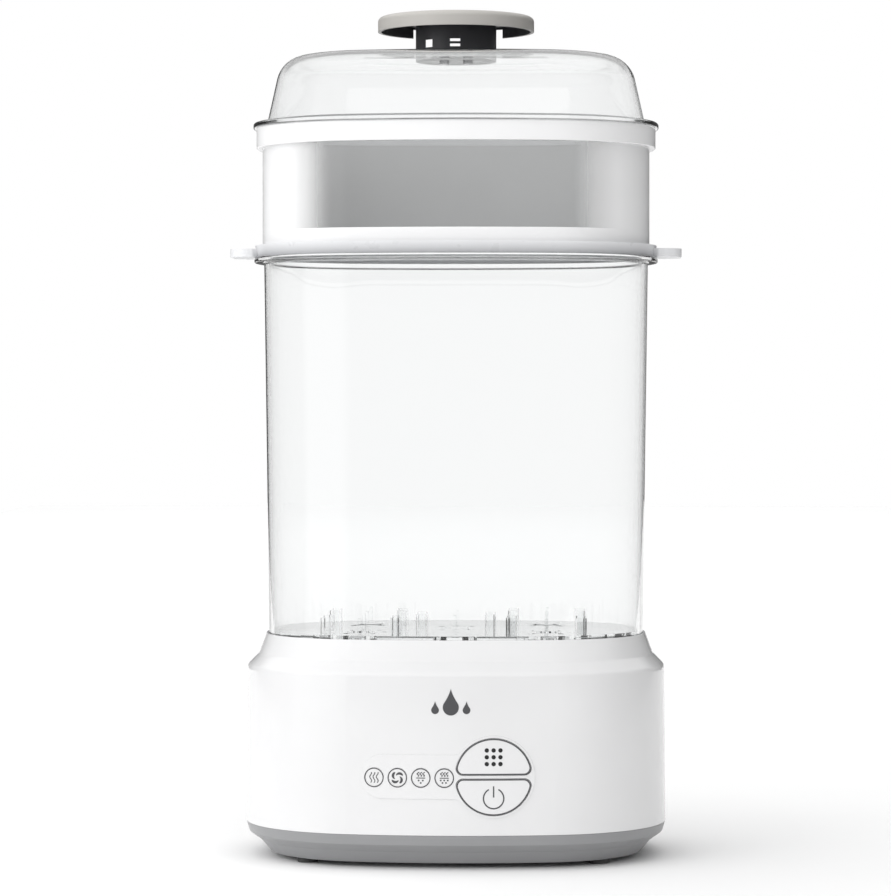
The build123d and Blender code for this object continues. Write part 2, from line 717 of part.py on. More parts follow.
# ---- tray ------------------------------------------------------------------------------------
tab_reach = 134.0
with BuildPart() as tray_base:
    stack([(tray_low, 7.2), (tray_floor_top, 5.5)])
    plug(tray_low, tray_floor_top - 3.0, 14.0, mode=Mode.SUBTRACT)
    with BuildSketch(Plane.XY.offset(tray_low + 0.4)):
        RectangleRounded(2 * tab_reach, 44.0, 12.0)
        Rectangle(2 * (tab_reach - 24.0), 60.0, mode=Mode.SUBTRACT)
    extrude(amount=4.8)
    for sx in (-1, 1):
        for sy in (-1, 1):
            with BuildSketch(Plane.XY.offset(345.0)) as lug:
                add(oval(14.2))
                add(oval(19.0), mode=Mode.SUBTRACT)
                with Locations((sx * 73.0, sy * 60.0)):
                    Rectangle(26.0, 50.0, mode=Mode.INTERSECT)
            extrude(lug.sketch, amount=14.0)
    with BuildSketch(Plane.XY.offset(tray_low)):
        with GridLocations(24.0, 22.0, 7, 5):
            SlotOverall(14.0, 5.0)
    extrude(amount=10.0, mode=Mode.SUBTRACT)
tray_base.part.label = "tray_base"
export_step(tray_base.part, "parts/tray_base.step")

window_half = 106.0
with BuildPart() as tray_shell:
    band(tray_floor_top, tray_collar_low, tray_inset, tray_inset + shell_wall)
    band(tray_collar_low, 424.4, tray_collar_inset, tray_inset + shell_wall)
    band(424.4, tray_top, tray_collar_inset, tray_inset + 0.5)
    fillet(edges_at(tray_collar_low, tray_shell).group_by(SortBy.LENGTH)[-1], 0.6)
    block(-window_half, window_half, -100.0, 0.0, window_low, tray_collar_low, mode=Mode.SUBTRACT)
tray_shell.part.label = "tray_shell"
export_step(tray_shell.part, "parts/tray_shell.step")

with BuildPart() as tray_window:
    band(window_low, tray_collar_low, tray_inset, tray_inset + shell_wall)
    block(-window_half, window_half, -100.0, 0.0, window_low, tray_collar_low, mode=Mode.INTERSECT)
tray_window.part.label = "tray_window"
export_step(tray_window.part, "parts/tray_window.step")

# ---- lid and handle --------------------------------------------------------------------------
lid_wall = 2.2
crown_inset = 68.0
with BuildPart() as lid_inside:
    stack(
        [
            (tray_top, lid_inset + lid_wall),
            (lid_shoulder - lid_wall, 21.2 + lid_wall),
            (lid_top - lid_wall, crown_inset),
        ]
    )
    fillet(edges_at(lid_shoulder - lid_wall, lid_inside), 15.0)

with BuildPart() as lid_dome:
    stack([(tray_top, lid_inset), (lid_shoulder, 21.2), (lid_top, crown_inset)])
    fillet(edges_at(lid_shoulder, lid_dome), 17.0)
    plug(tray_top, lid_flange_top, 4.5)
    fillet(edges_at(lid_flange_top, lid_dome).group_by(SortBy.LENGTH)[-1], 1.0)
    add(lid_inside.part, mode=Mode.SUBTRACT)
    band(424.8, tray_top, tray_inset + 0.9, lid_inset + lid_wall)
    disc(0, 0, 470.0, 480.0, 2.2, mode=Mode.SUBTRACT)
    with BuildSketch(Plane.XY.offset(470.0)):
        with PolarLocations(vent_circle, 6):
            Circle(vent_radius)
        with Locations([(x, 0) for x in boss_x]):
            Circle(1.8)
    extrude(amount=10.0, mode=Mode.SUBTRACT)
lid_dome.part.label = "lid_dome"
export_step(lid_dome.part, "parts/lid_dome.step")

with BuildPart() as vent_collar:
    disc(0, 0, lid_top, neck_top, neck_radius)
    disc(0, 0, lid_top + 2.0, 500.0, neck_radius - neck_wall, mode=Mode.SUBTRACT)
    for x in boss_x:
        disc(x, 0, lid_top, neck_top, boss_radius)
        disc(x, 0, 470.0, neck_top - 2.0, 1.2, mode=Mode.SUBTRACT)
    with BuildSketch(Plane.XY.offset(lid_top)):
        with PolarLocations(vent_circle, 6):
            Circle(vent_radius)
    extrude(amount=2.0, mode=Mode.SUBTRACT)
    for z in (lid_top + 2.0, lid_top + 5.0):
        block(-3.2, 3.2, -30.0, 0.0, z, z + 1.8, mode=Mode.SUBTRACT)
    block(-17.5, -13.4, -30.0, 0.0, lid_top + 2.0, lid_top + 6.8, mode=Mode.SUBTRACT)
    block(-19.0, 9.0, 0.0, 30.0, lid_top + 4.0, lid_top + 12.5, mode=Mode.SUBTRACT)
vent_collar.part.label = "vent_collar"
export_step(vent_collar.part, "parts/vent_collar.step")

cap_under = cap_top - cap_wall
with BuildPart() as handle_cap:
    with BuildSketch(Plane.XZ):
        with BuildLine():
            Polyline(
                (0, cap_under),
                (neck_radius - neck_wall, cap_under),
                (neck_radius - neck_wall, neck_top),
                (neck_radius, neck_top),
                (neck_radius, cap_under),
                (cap_radius - cap_wall, cap_under),
                (cap_radius - cap_wall, cap_low),
                (cap_radius, cap_low),
                (cap_radius, cap_top - cap_edge),
            )
            RadiusArc(
                (cap_radius, cap_top - cap_edge), (cap_radius - cap_edge, cap_top), -cap_edge
            )
            Polyline((cap_radius - cap_edge, cap_top), (0, cap_top), (0, cap_under))
        make_face()
    revolve(axis=Axis.Z)
    for x in boss_x:
        disc(x, 0, neck_top, cap_under, boss_radius)
    block(-notch_half, notch_half, 30.0, 60.0, 480.0, cap_under - 1.3, mode=Mode.SUBTRACT)
handle_cap.part.label = "handle_cap"
export_step(handle_cap.part, "parts/handle_cap.step")

with BuildPart() as handle_screws:
    for x in boss_x:
        disc(x, 0, lid_top - lid_wall - 1.8, lid_top - lid_wall, 3.0)
        disc(x, 0, lid_top - lid_wall, neck_top - 3.0, 1.15)
handle_screws.part.label = "handle_screws"
export_step(handle_screws.part, "parts/handle_screws.step")
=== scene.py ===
"""A bottle sterilizer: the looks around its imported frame, in metres, with +Z up and front -Y."""
import json
from math import atan2, cos, degrees, hypot, pi, radians, sin, sqrt

import bmesh
import bpy
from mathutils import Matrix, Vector


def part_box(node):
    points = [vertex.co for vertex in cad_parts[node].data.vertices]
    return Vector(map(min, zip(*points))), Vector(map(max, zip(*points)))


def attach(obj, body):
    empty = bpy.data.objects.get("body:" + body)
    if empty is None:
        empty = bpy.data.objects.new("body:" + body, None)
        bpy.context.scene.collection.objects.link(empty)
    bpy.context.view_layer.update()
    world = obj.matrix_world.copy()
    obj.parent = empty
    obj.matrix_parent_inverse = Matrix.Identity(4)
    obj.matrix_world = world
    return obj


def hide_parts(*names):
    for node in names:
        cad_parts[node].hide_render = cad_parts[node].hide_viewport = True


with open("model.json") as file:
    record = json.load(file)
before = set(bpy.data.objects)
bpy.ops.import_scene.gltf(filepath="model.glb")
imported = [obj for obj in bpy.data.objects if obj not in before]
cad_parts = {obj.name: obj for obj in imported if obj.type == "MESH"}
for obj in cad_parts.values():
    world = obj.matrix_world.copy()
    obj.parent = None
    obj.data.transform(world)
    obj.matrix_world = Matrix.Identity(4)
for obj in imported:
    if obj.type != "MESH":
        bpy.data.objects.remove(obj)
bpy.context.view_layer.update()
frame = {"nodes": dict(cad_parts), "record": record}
MM = 0.001

# ---- driving dimensions ----------------------------------------------------------------------
HALF_WIDTH, HALF_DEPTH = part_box("bottom_pan")[1].x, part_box("bottom_pan")[1].y
LONG_RADIUS, SIDE_RADIUS, CORNER_RADIUS = 300 * MM, 150 * MM, 80 * MM
SIDE_X = HALF_WIDTH - SIDE_RADIUS
LONG_Y = HALF_DEPTH - LONG_RADIUS
WINDOW_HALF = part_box("tray_window")[1].x
CAP_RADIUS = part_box("handle_cap")[1].x


def heights(node):
    """A node's lowest and highest level, in millimetres."""
    low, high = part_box(node)
    return low.z / MM, high.z / MM


FOOT, PAN_TOP = heights("bottom_pan")
CHAMBER_LOW, CHAMBER_TOP = heights("chamber_wall")
TRAY_FLOOR, TRAY_TOP = heights("tray_shell")
WINDOW_LOW, WINDOW_TOP = heights("tray_window")
LID_LOW, LID_TOP = heights("lid_dome")
CAP_TOP = heights("handle_cap")[1]
COLLAR_TOP, SHOULDER = 132.0, 112.5

# Wall thicknesses and insets from the plan outline, in millimetres
DRAFT = 0.9
SHELL_WALL, CLEAR_WALL, TRAY_WALL, PAN_FLOOR = 2.6, 2.5, 2.6, 2.5
CHAMBER_INSET, CHAMBER_TOP_INSET, CHAMBER_RIM_INSET = 13.7, 10.8, 5.0
TRAY_INSET, TRAY_COLLAR_INSET = 9.9, 6.3
LID_INSET, LID_RIM_INSET, LID_LIP_INSET = 12.6, 4.5, 10.8


def corner_centre():
    """Centre of the corner arc that touches the back arc and the right side arc."""
    long_reach = LONG_RADIUS - CORNER_RADIUS
    side_reach = SIDE_RADIUS - CORNER_RADIUS
    apart = hypot(SIDE_X, LONG_Y)
    along = (long_reach**2 - side_reach**2 + apart**2) / (2 * apart)
    across = sqrt(long_reach**2 - along**2)
    ux, uy = SIDE_X / apart, -LONG_Y / apart
    return along * ux + across * uy, LONG_Y + along * uy - across * ux


CORNER_X, CORNER_Y = corner_centre()
SIDE_TURN = atan2(CORNER_Y, CORNER_X - SIDE_X)
LONG_TURN = atan2(CORNER_Y - LONG_Y, CORNER_X)


def outline_point(angle, inset):
    """The plan outline drawn in by inset, at the place whose outward normal points along angle."""
    c, s = cos(angle), sin(angle)
    turn = atan2(abs(s), abs(c))
    if turn < SIDE_TURN:
        x, y, radius = SIDE_X, 0.0, SIDE_RADIUS
    elif turn < LONG_TURN:
        x, y, radius = CORNER_X, CORNER_Y, CORNER_RADIUS
    else:
        x, y, radius = 0.0, LONG_Y, LONG_RADIUS
    sign_x, sign_y = (1 if c >= 0 else -1), (1 if s >= 0 else -1)
    return sign_x * x + (radius - inset) * c, sign_y * y + (radius - inset) * s


def ring_angles(step=3.0 * MM):
    """Normal angles spaced evenly along the outline, once round from the right side."""
    first = []
    for low, high, radius in (
        (0.0, SIDE_TURN, SIDE_RADIUS),
        (SIDE_TURN, LONG_TURN, CORNER_RADIUS),
        (LONG_TURN, pi / 2, LONG_RADIUS),
    ):
        count = max(2, round((high - low) * radius / step))
        first += [low + (high - low) * n / count for n in range(count)]
    first.append(pi / 2)
    half = first + [pi - a for a in reversed(first[:-1])]
    return half + [pi + a for a in half[1:-1]]


ALL_ANGLES = ring_angles()

# ---- mesh helpers ----------------------------------------------------------------------------
def new_object(name, vertices, faces, material, smooth=True):
    mesh = bpy.data.meshes.new(name)
    mesh.from_pydata([tuple(v) for v in vertices], [], faces)
    mesh.update()
    obj = bpy.data.objects.new(name, mesh)
    bpy.context.scene.collection.objects.link(obj)
    mesh.materials.append(material)
    for polygon in mesh.polygons:
        polygon.use_smooth = smooth
    return obj


def follow_large_faces(obj):
    """Shading that follows the larger of the faces that meet."""
    weighted = obj.modifiers.new("weighted", "WEIGHTED_NORMAL")
    weighted.weight = 100
    return weighted


def tidy_normals(obj):
    """Outward faces, with shading that follows the large faces."""
    work = bmesh.new()
    work.from_mesh(obj.data)
    bmesh.ops.recalc_face_normals(work, faces=work.faces)
    work.to_mesh(obj.data)
    work.free()
    follow_large_faces(obj).keep_sharp = True
    return obj


def rounded(points, steps=4):
    """A polyline whose corners with a radius become arcs. A point is (inset, z, radius)."""
    out = []
    count = len(points)
    for n, (px, pz, radius) in enumerate(points):
        if radius <= 0:
            out.append((px, pz))
            continue
        ax, az, _ = points[n - 1]
        bx, bz, _ = points[(n + 1) % count]
        ua, ub = Vector((ax - px, az - pz)), Vector((bx - px, bz - pz))
        room = min(ua.length, ub.length) * 0.49
        ua.normalize()
        ub.normalize()
        half = ua.angle(ub) / 2
        reach = min(radius / max(1e-6, sin(half) / cos(half)), room)
        start, end = Vector((px, pz)) + ua * reach, Vector((px, pz)) + ub * reach
        middle = Vector((px, pz))
        size = reach * sin(half) / cos(half)
        centre = middle + (ua + ub).normalized() * (size / sin(half))
        a0 = atan2(start.y - centre.y, start.x - centre.x)
        a1 = atan2(end.y - centre.y, end.x - centre.x)
        turn = (a1 - a0 + pi) % (2 * pi) - pi
        for k in range(steps + 1):
            a = a0 + turn * k / steps
            out.append((centre.x + size * cos(a), centre.y + size * sin(a)))
    return out


def fill_end(vertices, faces, ring):
    """Fills the middle of a level ring of points with a flat face."""
    steps = 6
    edge = [vertices[n] for n in ring]
    level = edge[0][2]
    previous = ring
    for step in range(1, steps):
        share = 1 - step / steps
        start = len(vertices)
        vertices += [(x * share, y * share, level) for x, y, _ in edge]
        current = list(range(start, start + len(ring)))
        for r in range(len(ring)):
            nxt = (r + 1) % len(ring)
            faces.append((previous[r], previous[nxt], current[nxt], current[r]))
        previous = current
    tip = len(vertices)
    vertices.append((0.0, 0.0, level))
    for r in range(len(ring)):
        faces.append((previous[r], previous[(r + 1) % len(ring)], tip))


def sweep(name, profile, material, filled=False):
    """A body whose profile of (inset, z) points runs round the plan outline.

    The profile is a closed loop, or where filled, an open line whose two ends are filled in to
    the middle.
    """
    rings, count = len(ALL_ANGLES), len(profile)
    vertices, faces = [], []
    for angle in ALL_ANGLES:
        for inset, z in profile:
            x, y = outline_point(angle, inset)
            vertices.append((x, y, z))
    for r in range(rings):
        nxt = (r + 1) % rings
        for k in range(count - 1 if filled else count):
            m = (k + 1) % count
            faces.append((r * count + k, nxt * count + k, nxt * count + m, r * count + m))
    if filled:
        for end in (0, count - 1):
            fill_end(vertices, faces, [r * count + end for r in range(rings)])
    return tidy_normals(new_object(name, vertices, faces, material))


# ---- materials -------------------------------------------------------------------------------
def base_material(name):
    mat = bpy.data.materials.new(name)
    mat.use_nodes = True
    tree = mat.node_tree
    return mat, tree, tree.nodes["Principled BSDF"]


def math_node(tree, operation, first, second=None):
    """One sum on sockets or numbers."""
    node = tree.nodes.new("ShaderNodeMath")
    node.operation = operation
    for socket, value in zip(node.inputs, (first, second)):
        if isinstance(value, (int, float)):
            socket.default_value = value
        elif value is not None:
            tree.links.new(value, socket)
    return node.outputs[0]


def ramp(tree, value, low, high, start=0.0, end=1.0, smooth=False):
    """Goes from start to end as value goes from low to high."""
    node = tree.nodes.new("ShaderNodeMapRange")
    if smooth:
        node.interpolation_type = "SMOOTHSTEP"
    limits = {"From Min": low, "From Max": high, "To Min": start, "To Max": end}
    for socket, number in limits.items():
        node.inputs[socket].default_value = number
    tree.links.new(value, node.inputs["Value"])
    return node.outputs["Result"]


def object_place(tree):
    """The surface point's x, y and z in the object's frame."""
    coords = tree.nodes.new("ShaderNodeTexCoord")
    split = tree.nodes.new("ShaderNodeSeparateXYZ")
    tree.links.new(coords.outputs["Object"], split.inputs["Vector"])
    return (split.outputs[n] for n in range(3))


def noise(tree, size, detail=3.0):
    """A noise field whose blobs are about size metres across."""
    coords = tree.nodes.new("ShaderNodeTexCoord")
    field = tree.nodes.new("ShaderNodeTexNoise")
    field.inputs["Scale"].default_value = 1.0 / size
    field.inputs["Detail"].default_value = detail
    tree.links.new(coords.outputs["Object"], field.inputs["Vector"])
    return field.outputs["Fac"]


def spread(tree, field, low, high):
    """Maps a noise field to the range low to high."""
    return ramp(tree, field, 0.3, 0.7, low, high)


def two_tone(tree, factor, first, second):
    """Goes from the first colour to the second, each a colour or a socket."""
    mix = tree.nodes.new("ShaderNodeMix")
    mix.data_type = "RGBA"
    tree.links.new(factor, mix.inputs["Factor"])
    for socket, colour in (("A", first), ("B", second)):
        if isinstance(colour, tuple):
            mix.inputs[socket].default_value = (*colour, 1)
        else:
            tree.links.new(colour, mix.inputs[socket])
    return mix.outputs["Result"]


def recolour(tree, shader, factor, colour, under=False):
    """Lays one more colour over the shader's own where factor is 1, or where it is 0 if under."""
    own = shader.inputs["Base Color"].links[0].from_socket
    pair = (colour, own) if under else (own, colour)
    tree.links.new(two_tone(tree, factor, *pair), shader.inputs["Base Color"])


def roughen(tree, shader, size, depth):
    """A fine bump on the whole surface."""
    bump = tree.nodes.new("ShaderNodeBump")
    bump.inputs["Strength"].default_value = 0.6
    bump.inputs["Distance"].default_value = depth
    tree.links.new(noise(tree, size, 2.0), bump.inputs["Height"])
    tree.links.new(bump.outputs["Normal"], shader.inputs["Normal"])


def moulded(name, colour, roughness, grain=0.4 * MM, depth=0.01 * MM, shade=0.03, coat=0.0):
    """Opaque moulded plastic: slightly uneven gloss, faint flow marks and a fine skin texture."""
    mat, tree, shader = base_material(name)
    darker = tuple(c * (1 - shade) for c in colour)
    tree.links.new(
        two_tone(tree, spread(tree, noise(tree, 60 * MM), 0, 1), colour, darker),
        shader.inputs["Base Color"],
    )
    tree.links.new(
        spread(tree, noise(tree, 9 * MM, 5.0), roughness * 0.85, roughness * 1.2),
        shader.inputs["Roughness"],
    )
    shader.inputs["IOR"].default_value = 1.5
    shader.inputs["Coat Weight"].default_value = coat
    shader.inputs["Coat Roughness"].default_value = 0.05
    roughen(tree, shader, grain, depth)
    return mat


def metal(name, colour, roughness):
    """Bare metal with fine uneven scratches."""
    mat, tree, shader = base_material(name)
    shader.inputs["Metallic"].default_value = 1.0
    darker = tuple(c * 0.85 for c in colour)
    tree.links.new(
        two_tone(tree, spread(tree, noise(tree, 12 * MM), 0, 1), colour, darker),
        shader.inputs["Base Color"],
    )
    tree.links.new(
        spread(tree, noise(tree, 4 * MM, 6.0), roughness * 0.7, roughness * 1.4),
        shader.inputs["Roughness"],
    )
    roughen(tree, shader, 0.5 * MM, 0.006 * MM)
    return mat


def let_light_in(tree, shader, tint):
    """Lamps shine through the clear surface instead of casting a solid shadow."""
    output = tree.nodes["Material Output"]
    path = tree.nodes.new("ShaderNodeLightPath")
    clear = tree.nodes.new("ShaderNodeBsdfTransparent")
    clear.inputs["Color"].default_value = (*tint, 1)
    mix = tree.nodes.new("ShaderNodeMixShader")
    tree.links.new(path.outputs["Is Shadow Ray"], mix.inputs["Fac"])
    tree.links.new(shader.outputs["BSDF"], mix.inputs[1])
    tree.links.new(clear.outputs["BSDF"], mix.inputs[2])
    tree.links.new(mix.outputs["Shader"], output.inputs["Surface"])


def clear_plastic(name, tint):
    """Polished clear moulding: nearly smooth, with faint waviness and traces of handling."""
    mat, tree, shader = base_material(name)
    shader.inputs["Base Color"].default_value = (*tint, 1)
    shader.inputs["Transmission Weight"].default_value = 1.0
    shader.inputs["IOR"].default_value = 1.5
    tree.links.new(
        spread(tree, noise(tree, 35 * MM, 4.0), 0.0036, 0.024), shader.inputs["Roughness"]
    )
    roughen(tree, shader, 45 * MM, 0.03 * MM)
    let_light_in(tree, shader, tint)
    return mat


# The second cap colour is near-black painted shade for the hollow under the cap.
CAP_COLOUR, CAP_PAINTED_SHADE = (0.47, 0.455, 0.43), (0.05, 0.05, 0.055)
CAP_SKIN, CAP_ROOF = 1.9 * MM, 1.0 * MM
# The ring's second, darker grey is painted shade, laid towards its lower edge.
TAB_COLOUR, RING_PAINTED_SHADE = (0.76, 0.765, 0.78), (0.42, 0.425, 0.44)
RING_SHADE_HEIGHT, TAB_ROOT = 6.5 * MM, (6.5 * MM, 4.5 * MM)
CLEAR_TINT, WINDOW_WHITE = (0.985, 0.99, 0.99), (0.86, 0.86, 0.865)
FADE_START, FADE_END = 68 * MM, 98 * MM


def painted_shade_cap(name):
    """Light grey satin outside, with near-black painted shade in the hollow under the cap."""
    mat = moulded(name, CAP_COLOUR, 0.35, depth=0.004 * MM)
    tree = mat.node_tree
    shader = tree.nodes["Principled BSDF"]
    x, y, z = object_place(tree)
    squares = [math_node(tree, "MULTIPLY", value, value) for value in (x, y)]
    reach = math_node(tree, "SQRT", math_node(tree, "ADD", *squares))
    within = math_node(tree, "LESS_THAN", reach, CAP_RADIUS - CAP_SKIN)
    below = math_node(tree, "LESS_THAN", z, CAP_TOP * MM - CAP_ROOF)
    # Painted shade: near black inside the cap's wall and below its roof.
    recolour(tree, shader, math_node(tree, "MULTIPLY", within, below), CAP_PAINTED_SHADE)
    return mat


def ring_grey(name):
    """Cloudy grey plastic with painted shade that darkens it towards its lower edge; the two side
    tabs stay pale.
    """
    mat = moulded(name, TAB_COLOUR, 0.3, depth=0.003 * MM)
    tree = mat.node_tree
    shader = tree.nodes["Principled BSDF"]
    x, _, z = object_place(tree)
    # Painted shade rises from the ring's lower edge and stays off the side tabs.
    up = ramp(tree, z, TRAY_FLOOR * MM - RING_SHADE_HEIGHT, TRAY_FLOOR * MM)
    across = math_node(tree, "ABSOLUTE", x)
    out = ramp(tree, across, HALF_WIDTH - TAB_ROOT[0], HALF_WIDTH - TAB_ROOT[1])
    recolour(tree, shader, math_node(tree, "MAXIMUM", up, out), RING_PAINTED_SHADE, under=True)
    return mat


def window_material(name):
    """Clear in the middle of the window, fading to solid white at its two ends."""
    mat, tree, shader = base_material(name)
    x, _, _ = object_place(tree)
    across = math_node(tree, "ABSOLUTE", x)
    fade = ramp(tree, across, FADE_START, FADE_END, 1.0, 0.0, smooth=True)
    tree.links.new(fade, shader.inputs["Transmission Weight"])
    tree.links.new(two_tone(tree, fade, WINDOW_WHITE, CLEAR_TINT), shader.inputs["Base Color"])
    tree.links.new(
        spread(tree, noise(tree, 30 * MM, 4.0), 0.01, 0.05), shader.inputs["Roughness"]
    )
    roughen(tree, shader, 40 * MM, 0.02 * MM)
    return mat


WHITE = moulded("white_gloss", (0.755, 0.755, 0.76), 0.17, depth=0.004 * MM, coat=0.3)
# The tray's white is lighter than the base's white plastic: painted light that stands in for more
# light falling on the tray.
TRAY_WHITE_PAINTED_LIGHT = moulded("tray_white", (0.87, 0.87, 0.875), 0.22, depth=0.004 * MM)
# Painted shade: the tray's inner skin is a darker white than its outer skin, for the shade inside
# the tray.
TRAY_INSIDE_PAINTED_SHADE = moulded("tray_inside_painted_shade", (0.74, 0.74, 0.74), 0.35, depth=0.004 * MM)
PAN_GREY = moulded("pan_grey", (0.295, 0.297, 0.304), 0.34, grain=0.5 * MM, depth=0.008 * MM)
CHARCOAL = moulded("charcoal", (0.045, 0.045, 0.05), 0.38, depth=0.008 * MM)
BLACK = moulded("black_plastic", (0.03, 0.03, 0.032), 0.4, depth=0.02 * MM)
INK_GRAIN = 0.2 * MM
DOT_INK = moulded("dot_ink", (0.012, 0.012, 0.013), 0.45, grain=INK_GRAIN, depth=0.005 * MM)
INK = moulded("print_ink", (0.07, 0.07, 0.075), 0.45, grain=INK_GRAIN, depth=0.005 * MM)
RUBBER = moulded("foot_rubber", (0.05, 0.05, 0.05), 0.7, grain=0.3 * MM, depth=0.03 * MM)
SILICONE = moulded("silicone", (0.7, 0.7, 0.69), 0.45, depth=0.01 * MM)
BOARD = moulded("board_green", (0.02, 0.16, 0.07), 0.35, grain=0.6 * MM, depth=0.02 * MM)
PAPER = moulded("filter_paper", (0.85, 0.85, 0.82), 0.9, grain=0.25 * MM, depth=0.06 * MM)
SCREW = metal("zinc_steel", (0.62, 0.62, 0.63), 0.3)
STAINLESS = metal("stainless", (0.7, 0.7, 0.71), 0.22)
ALUMINIUM = metal("aluminium", (0.78, 0.78, 0.79), 0.4)
CLEAR = clear_plastic("clear_plastic", CLEAR_TINT)
CAP_GREY = painted_shade_cap("cap_grey")
RING_GREY = ring_grey("ring_grey")
WINDOW = window_material("window_fade")

MATERIAL_OF_SLOT = {
    "white_shell": WHITE,
    "grey_pan": PAN_GREY,
    "clear_plastic": CLEAR,
    "tray_white": TRAY_WHITE_PAINTED_LIGHT,
    "tray_grey": RING_GREY,
    "cap_grey": CAP_GREY,
    "charcoal": CHARCOAL,
    "button_white": WHITE,
    "lens": WHITE,
    "dark_rubber": RUBBER,
    "silicone": SILICONE,
    "screw_steel": SCREW,
    "plate_steel": STAINLESS,
    "aluminium": ALUMINIUM,
    "black_plastic": BLACK,
    "board_green": BOARD,
    "filter_paper": PAPER,
}
for part in frame["record"]["subparts"]:
    node = frame["nodes"][part["node"]]
    node.data.materials.clear()
    node.data.materials.append(MATERIAL_OF_SLOT[part["material_slot"]])


def stands_for(obj, node, body):
    """Puts a visible piece in the place of a CAD node."""
    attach(obj, body)
    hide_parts(node)


def mm(*points):
    """Profile points given in millimetres as (inset, height, corner radius)."""
    return [tuple(v * MM for v in p) for p in points]


# ---- bottom pan ------------------------------------------------------------------------------
SKIRT = [(14.2, FOOT, 1.2), (8.4, 9.9, 3.0), (1.8, 14.6, 1.0), (0.0, PAN_TOP, 0.5)]
INSIDE = [(0.0, PAN_TOP, 0.4), (1.8, 14.6, 1.0), (8.4, 9.9, 1.0), (14.2, FOOT + PAN_FLOOR, 1.0)]
PAN_MIDDLE = 45
pan = sweep(
    "pan_shell",
    rounded(mm(
        (PAN_MIDDLE, FOOT, 0),
        *SKIRT,
        *((inset + SHELL_WALL, z, radius) for inset, z, radius in INSIDE),
        (PAN_MIDDLE, FOOT + PAN_FLOOR, 0),
    )),
    PAN_GREY,
    filled=True,
)
stands_for(pan, "bottom_pan", "base")

# ---- chamber ---------------------------------------------------------------------------------
CHAMBER_RIM = CHAMBER_TOP - 3.0
chamber = sweep(
    "chamber_clear",
    rounded(mm(
        (CHAMBER_INSET, CHAMBER_LOW, 0.6),
        (CHAMBER_INSET, COLLAR_TOP, 0),
        (CHAMBER_TOP_INSET, CHAMBER_RIM, 1.2),
        (CHAMBER_RIM_INSET, CHAMBER_RIM, 0.8),
        (CHAMBER_RIM_INSET, CHAMBER_TOP, 1.0),
        (CHAMBER_TOP_INSET + CLEAR_WALL, CHAMBER_TOP, 1.0),
        (CHAMBER_INSET + CLEAR_WALL, COLLAR_TOP, 0),
        (CHAMBER_INSET + CLEAR_WALL, CHAMBER_LOW, 0.6),
    )),
    CLEAR,
)
stands_for(chamber, "chamber_wall", "chamber")

# ---- tray ------------------------------------------------------------------------------------
LEDGE, LEDGE_INSET = TRAY_TOP - 6.0, 10.4
tray_rim = sweep(
    "tray_rim",
    rounded(mm(
        (TRAY_COLLAR_INSET, WINDOW_TOP, 0.8),
        (TRAY_COLLAR_INSET, TRAY_TOP, 0.8),
        (LEDGE_INSET, TRAY_TOP, 0.5),
        (LEDGE_INSET, LEDGE, 0.4),
        (TRAY_INSET + TRAY_WALL, LEDGE, 0.4),
        (TRAY_INSET + TRAY_WALL, WINDOW_TOP, 0.3),
    )),
    TRAY_WHITE_PAINTED_LIGHT,
)
wall_levels = (TRAY_FLOOR, WINDOW_LOW, WINDOW_TOP)
tray_wall = sweep(
    "tray_wall",
    mm(
        *((TRAY_INSET, z) for z in wall_levels),
        *((TRAY_INSET + TRAY_WALL, z) for z in reversed(wall_levels)),
    ),
    TRAY_WHITE_PAINTED_LIGHT,
)
for extra in (TRAY_INSIDE_PAINTED_SHADE, WINDOW):
    tray_wall.data.materials.append(extra)
# The window takes the front faces between its two levels, and the inner skin gets a darker white:
# painted shade for the shade inside the tray.
for polygon in tray_wall.data.polygons:
    middle = polygon.center
    level = WINDOW_LOW * MM < middle.z < WINDOW_TOP * MM
    if level and middle.y < 0 and abs(middle.x) < WINDOW_HALF - 2 * MM:
        polygon.material_index = 2
    elif polygon.normal.x * middle.x + polygon.normal.y * middle.y < 0:
        polygon.material_index = 1
stands_for(tray_rim, "tray_shell", "tray")
stands_for(tray_wall, "tray_shell", "tray")
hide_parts("tray_window")

# ---- lid -------------------------------------------------------------------------------------
LID_CROWN, LID_FLANGE_TOP, LID_SHOULDER = 68, TRAY_TOP + 3.1, 472.0
lid = sweep(
    "lid_clear",
    rounded(mm(
        (LID_CROWN, 474.0, 0),
        (23.4, 469.8, 15),
        (14.7, TRAY_TOP, 0),
        (14.7, LID_LOW, 0.4),
        (LID_LIP_INSET, LID_LOW, 0.4),
        (LID_LIP_INSET, TRAY_TOP, 0.3),
        (LID_RIM_INSET, TRAY_TOP, 0.8),
        (LID_RIM_INSET, LID_FLANGE_TOP, 1.2),
        (LID_INSET, LID_FLANGE_TOP, 1.5),
        (21.2, LID_SHOULDER, 17),
        (LID_CROWN, LID_TOP, 0),
    ), steps=8),
    CLEAR,
    filled=True,
)
stands_for(lid, "lid_dome", "lid")

# ---- control pad -----------------------------------------------------------------------------
def softened(node, body, width):
    """A CAD node's own shape with every sharp edge rounded off."""
    mesh = frame["nodes"][node].data.copy()
    work = bmesh.new()
    work.from_mesh(mesh)
    bmesh.ops.remove_doubles(work, verts=work.verts, dist=0.002 * MM)
    bmesh.ops.dissolve_limit(
        work, angle_limit=radians(0.2), verts=work.verts, edges=work.edges
    )
    work.to_mesh(mesh)
    work.free()
    piece = bpy.data.objects.new(node + "_soft", mesh)
    bpy.context.scene.collection.objects.link(piece)
    for polygon in mesh.polygons:
        polygon.use_smooth = True
    bevel = piece.modifiers.new("bevel", "BEVEL")
    bevel.width = width
    bevel.segments = 3
    bevel.limit_method = "ANGLE"
    bevel.angle_limit = radians(50)
    follow_large_faces(piece)
    stands_for(piece, node, body)


softened("control_bezel", "base", 0.32 * MM)

